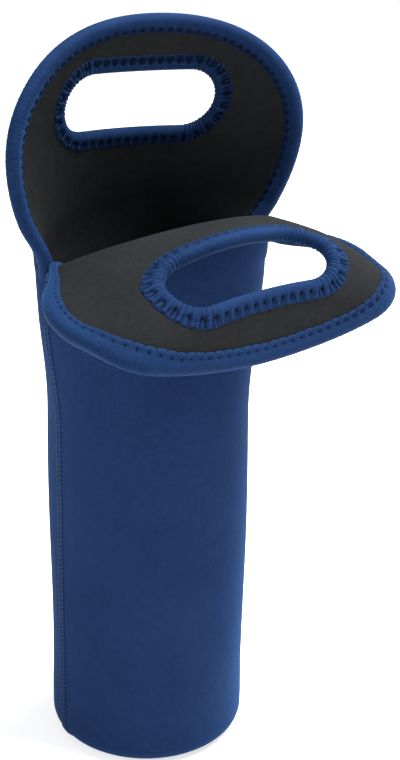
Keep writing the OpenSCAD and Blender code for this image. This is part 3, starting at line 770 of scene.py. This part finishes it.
def stitches(name, starts, ends, normals, radius, dive):
    """Copies of the stitch from each start to each end, lying on the cloth."""
    starts, ends, normals = np.vstack(starts), np.vstack(ends), np.vstack(normals)
    x = ends - starts
    ux = x / np.linalg.norm(x, axis=1, keepdims=True)
    uy = np.cross(normals, ux)
    uy /= np.linalg.norm(uy, axis=1, keepdims=True)
    uz = np.cross(ux, uy)
    rise = STITCH[None, :, 2:3] * radius * THREAD_FLAT + (LIFT[None, :, None] - 1) * dive
    body = (starts[:, None, :] + x[:, None, :] * STITCH[None, :, :1]
            + uy[:, None, :] * (STITCH[None, :, 1:2] * radius) + uz[:, None, :] * rise)
    faces = [tuple(k * len(STITCH) + i for i in f)
             for k in range(len(starts)) for f in STITCH_FACES]
    me = bpy.data.meshes.new(name)
    me.from_pydata(body.reshape(-1, 3).tolist(), [], faces)
    me.uv_layers.new(name="UVMap")
    obj = bpy.data.objects.new(name, me)
    bpy.context.scene.collection.objects.link(obj)
    faces_out(obj)
    smooth(obj, THREAD_ANGLE)
    return obj


def zigzag(name, side, run, inward, at, pitch, row, end, level):
    """Zigzag thread between the needle row and the tape's own edge, on both faces of a tape."""
    s = np.arange(0, int(round(at[-1] / pitch))) * pitch
    starts, ends, normals = [], [], []

    def spot(s, depth, off):
        r = np.stack([np.interp(s, at, run[:, c]) for c in (0, 1)], -1)
        w = np.stack([np.interp(s, at, inward[:, c]) for c in (0, 1)], -1)
        m = r + w * depth
        return place(side, m[:, 0], m[:, 1], off), sheet_normal(side, m[:, 0], m[:, 1])

    for face in (-1, 1):
        p0, n0 = spot(s, row, face * level)
        p1, _ = spot(s + pitch / 2, end, face * (level - THREAD_SINK))
        p2, _ = spot(np.minimum(s + pitch, at[-1]), row, face * level)
        starts += [p0, p1]
        ends += [p1, p2]
        normals += [n0 * face, n0 * face]
    return stitches(name, starts, ends, normals, STITCH_R, STITCH_DIVE)


def bound(name, side, points, closed, sewn, ladder):
    """An edge's tape and its thread."""
    _, pitch, steps, _, _, zig = sewn
    run, at = along(points, pitch / steps, closed)
    pitch = at[-1] / max(int(round(at[-1] / pitch)), 1)
    inward = inward_from(run, closed)
    band = binding(name + "_tape", side, run, at, pitch, inward, closed, sewn, ladder)
    threads = zigzag(name + "_stitches", side, run, inward, at, pitch, *zig)
    return finished(band, tape), finished(threads, thread)


def edge_ladder(side):
    """How deep the slots between an edge tape's ribs are along it."""
    if side == BACK:
        return BACK_LADDER
    _, at = along(edge_run(side), EDGE_PITCH / EDGE_STEPS, False)
    return mix(LADDER, LADDER_LEAST, eased(at, *LADDER_FADE))


bindings = {}
for side, word in ((FRONT, "front"), (BACK, "back")):
    bindings[word] = (
        *bound(word + "_edge", side, edge_run(side), False, EDGE_SEWN, edge_ladder(side)),
        *bound(word + "_hole", side, hole_outline(), True, HOLE_SEWN, LADDER))

# side seams: a band over the meeting edges, with a groove along its middle
SEAM_HALF, SEAM_PITCH, SEAM_ROWS, SEAM_COLS, SEAM_TOP = 2.3, 2.4, 560, 15, -0.5
SEAM_FOOT, SEAM_OFF, SEAM_CROWN, SEAM_BEAT, BEAT_AT, BEAT_L = 0.75, 0.12, 0.5, 0.10, 1.5, 0.6
# the groove: its depth, its width, and how dark its painted shade is
GROOVE, GROOVE_L, GROOVE_PAINTED_SHADE = 0.28, 0.45, 0.35
SEAM_NEAR, SEAM_FAR, NEAR_OFF, FAR_OFF = 0.5, 0.25, 0.62, 0.5
SEAM_STITCH_R, SEAM_STITCH_DIVE = 0.0002, 0.0002


def side_seam(name, hand):
    """Flat seam down one side: a narrow band over the meeting edges, caught by small stitches."""
    v = np.linspace(-STRAIGHT - EDGE_ARC * SEAM_FOOT, SEAM_TOP, SEAM_ROWS)
    w = np.linspace(-SEAM_HALF, SEAM_HALF, SEAM_COLS)
    a = hand * (HALF_W - np.abs(w))
    beat = np.cos(2 * np.pi * v / SEAM_PITCH)[:, None]
    crown = SEAM_CROWN * (1 - (w / SEAM_HALF) ** 4)
    groove = hill(w, 0, GROOVE_L)
    off = (HALF_WALL + SEAM_OFF + crown + SEAM_BEAT * beat * hill(np.abs(w), BEAT_AT, BEAT_L)
           - GROOVE * groove)
    aa, vv = np.meshgrid(a, v)
    points = np.where((w < 0)[None, :, None], place(FRONT, aa, vv, off), place(BACK, aa, vv, off))
    uv = np.stack([np.repeat(w[None, :], SEAM_ROWS, 0), vv], -1)
    obj, places = grid(name, points, uv)
    # painted shade along the groove
    dark = np.repeat(GROOVE_PAINTED_SHADE * groove[None, :], SEAM_ROWS, 0)
    painted_shade_attribute(obj, dark[places])
    faces_out(obj)
    thick(obj, TAPE_T, np.array([hand, 0, 0]))
    smooth(obj, TAPE_ANGLE)
    low = v[0] + np.arange(int((v[-1] - v[0]) / SEAM_PITCH)) * SEAM_PITCH
    near = np.full(len(low), hand * (HALF_W - SEAM_NEAR))
    far = np.full(len(low), hand * (HALF_W - SEAM_HALF + SEAM_FAR))
    starts, ends, normals = [], [], []
    for panel in (FRONT, BACK):
        p = place(panel, near, low, HALF_WALL + NEAR_OFF)
        q = place(panel, far, low + SEAM_PITCH / 2, HALF_WALL + FAR_OFF)
        r = place(panel, near, low + SEAM_PITCH, HALF_WALL + NEAR_OFF)
        starts += [p, q]
        ends += [q, r]
        normals += [sheet_normal(panel, near, low)] * 2
    threads = stitches(name + "_stitches", starts, ends, normals, SEAM_STITCH_R, SEAM_STITCH_DIVE)
    return finished(obj, tape), finished(threads, thread)


seams = [side_seam("left_seam_band", -1), side_seam("right_seam_band", 1)]

# base: two rounds of cloth, and the bound seam allowance that stands up inside
DISC_R, DISC_RINGS, DISC_SIDES = BASE_R + 0.6, (2, 6, 8, 8), 96
# each round's underside, height and rim
BASE_COVER, BASE_LINING = (0.05, 2.6, 0.6), (2.75, 2.25, 0.5)
STAND_PROFILE = [(-0.2, 0.3), (1.0, 1.0), (1.15, 3.4), (1.0, 5.2), (0.0, 6.1), (-1.0, 5.2),
                 (-1.15, 3.4), (-1.0, 1.0), (0.2, 0.3)]
STAND_IN, STAND_PLACES, STAND_TURNS, STAND_BEATS, STAND_UV = 1.2, 26, 361, 56, 0.6
# how the standing seam swells and rises with each stitch, how dark its painted shade is, and the
# height and width of its stitch row
STAND_SWELL, STAND_RISE, STAND_PAINTED_SHADE, STAND_ROW, STAND_ROW_L = 0.08, 0.03, 0.5, 3.2, 0.5


def disc(name, low, height, rim, material, slot):
    """A round of cloth, its rim rounded and its faces in rings."""
    only(None)
    bpy.ops.mesh.primitive_cylinder_add(vertices=DISC_SIDES, radius=DISC_R * MM,
                                        depth=height * MM, location=(0, 0, (low + height / 2) * MM))
    obj = bpy.context.object
    obj.name = obj.data.name = name
    bpy.ops.object.transform_apply(location=True, rotation=True, scale=True)
    bpy.ops.object.mode_set(mode="EDIT")
    bpy.ops.mesh.select_mode(type="FACE")
    bpy.ops.mesh.select_all(action="DESELECT")
    bpy.ops.object.mode_set(mode="OBJECT")
    for f in obj.data.polygons:
        f.select = abs(f.normal.z) > 0.9
    bpy.ops.object.mode_set(mode="EDIT")
    for ring in DISC_RINGS:
        bpy.ops.mesh.inset(thickness=ring * MM, depth=0, use_individual=True)
    bpy.ops.object.mode_set(mode="OBJECT")
    applied(obj, "BEVEL", width=rim * MM, segments=3, limit_method="ANGLE")
    co = vertex_places(obj)
    uv = obj.data.uv_layers[0].data
    for loop in obj.data.loops:
        uv[loop.index].uv = co[loop.vertex_index][:2] / (100 * MM)
    smooth(obj, DISC_ANGLE)
    return finished(obj, material)


def base_seam():
    turns = np.linspace(0, 2 * np.pi, STAND_TURNS)[:, None]
    beat = np.cos(turns * STAND_BEATS)
    prof = rounded(STAND_PROFILE, STAND_PLACES)
    r = BASE_R - STAND_IN + prof[None, :, 0] * (1 + STAND_SWELL * beat)
    z = WALL + prof[None, :, 1] * (1 + STAND_RISE * beat)
    points = np.stack([r * np.cos(turns), r * np.sin(turns), z], -1) * MM
    uv = np.stack(np.meshgrid(np.arange(STAND_PLACES) * STAND_UV, turns * BASE_R)[::-1], -1)
    obj, places = grid("base_seam_tape", points, uv)
    # painted shade in the needle holes along the stitch row
    row = hill(prof[None, :, 1], STAND_ROW, STAND_ROW_L)
    painted_dent_shade = STAND_PAINTED_SHADE * row * ((1 + beat) / 2) ** 4
    painted_shade_attribute(obj, painted_dent_shade[places])
    merged(obj, RING_MERGE)
    faces_out(obj)
    smooth(obj, TAPE_ANGLE)
    return finished(obj, tape)


base_cover = disc("base_cover_cloth", *BASE_COVER, navy, "cover")
base_lining = disc("base_lining_cloth", *BASE_LINING, charcoal, "lining")
base_tape = base_seam()

# bodies: the hand holes' tapes and threads hang under their flaps' bodies, the base and the side
# seams under the tube's, and the CAD's own pieces are hidden
folds = {
    "front": (FRONT, "front_flap", (0, -0.0279, 0.2399), (0, -0.0533, 0.2653)),
    "back": (BACK, "back_flap", (0, 0, 0.240), (0, 0, 0.272)),
}
for word, (side, body, start, end) in folds.items():
    cover, lining = cloths[word]
    edge, edge_thread, hole, hole_thread = bindings[word]
    for piece in (cover, lining, edge, edge_thread):
        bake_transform(piece)
    for piece in (hole, hole_thread):
        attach(piece, body)
    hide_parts(word + "_panel_cover", word + "_panel_foam", word + "_fold_cover",
                word + "_fold_foam", word + "_flap_cover", word + "_flap_foam")
    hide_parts(word + "_panel_lining", word + "_fold_lining", word + "_flap_lining")
    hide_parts(word + "_edge_binding", word + "_fold_left_binding",
                word + "_fold_right_binding")
    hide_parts(word + "_hole_binding")
    height = STRAIGHT + EDGE_ARC + FLAP_H + (FRONT_EXTRA if side == FRONT else 0)
    flat = (2 * FLAP_HALF * MM, height * MM)
    cut_area(side)
    cut_area(side)
for piece in (base_cover, base_lining, base_tape, *[p for pair in seams for p in pair]):
    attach(piece, "tube")
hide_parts("base_cover", "base_foam")
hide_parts("base_lining")
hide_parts("base_seam_binding")
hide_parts("left_side_seam")
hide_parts("right_side_seam")

# studio: name, place, aim, size and power of each light
LIGHTS = (
    ("top_light", (0.5, -0.3, 1.7), (0, 0, 0.2), (0.7, 0.7), 72),
    ("right_light", (1.1, 0.4, 0.5), (0, 0, 0.15), (0.5, 1.2), 5),
    ("left_light", (-1.1, -0.1, 0.5), (0, 0, 0.15), (0.5, 1.2), 4),
)
PAPER_DARK, PAPER_LIGHT, PAPER_GLOW, SKY_GLOW = 0.82, 0.86, 0.66, 0.34
PAPER_SIZE, PAPER_Z, WHITE = 30, -0.0002, (1, 1, 1, 1)


def lamp(name, where, aim, size, power):
    data = bpy.data.lights.new(name, "AREA")
    data.shape = "RECTANGLE"
    data.size, data.size_y = size
    data.energy = power
    obj = bpy.data.objects.new(name, data)
    bpy.context.scene.collection.objects.link(obj)
    obj.location = where
    obj.rotation_euler = (Vector(aim) - Vector(where)).to_track_quat("-Z", "Y").to_euler()


def studio():
    only(None)
    bpy.ops.mesh.primitive_plane_add(size=PAPER_SIZE, location=(0, 0, PAPER_Z))
    floor = bpy.context.object
    floor.name = "floor"
    paper = Finish("paper", 0.95, Specular_IOR_Level=0.1, Emission_Color=WHITE,
                   Emission_Strength=PAPER_GLOW)
    grain = paper.noise(paper.place(), 3, 2)
    dark, light = (*[PAPER_DARK] * 3, 1), (*[PAPER_LIGHT] * 3, 1)
    paper.feeds(Base_Color=paper.blend(grain, dark, light))
    floor.data.materials.append(paper.material)
    world = bpy.data.worlds.new("studio")
    bpy.context.scene.world = world
    world.use_nodes = True
    sky = world.node_tree.nodes["Background"].inputs
    sky["Color"].default_value, sky["Strength"].default_value = WHITE, SKY_GLOW
    bpy.context.scene.view_settings.view_transform = "Standard"
    for light in LIGHTS:
        lamp(*light)


studio()
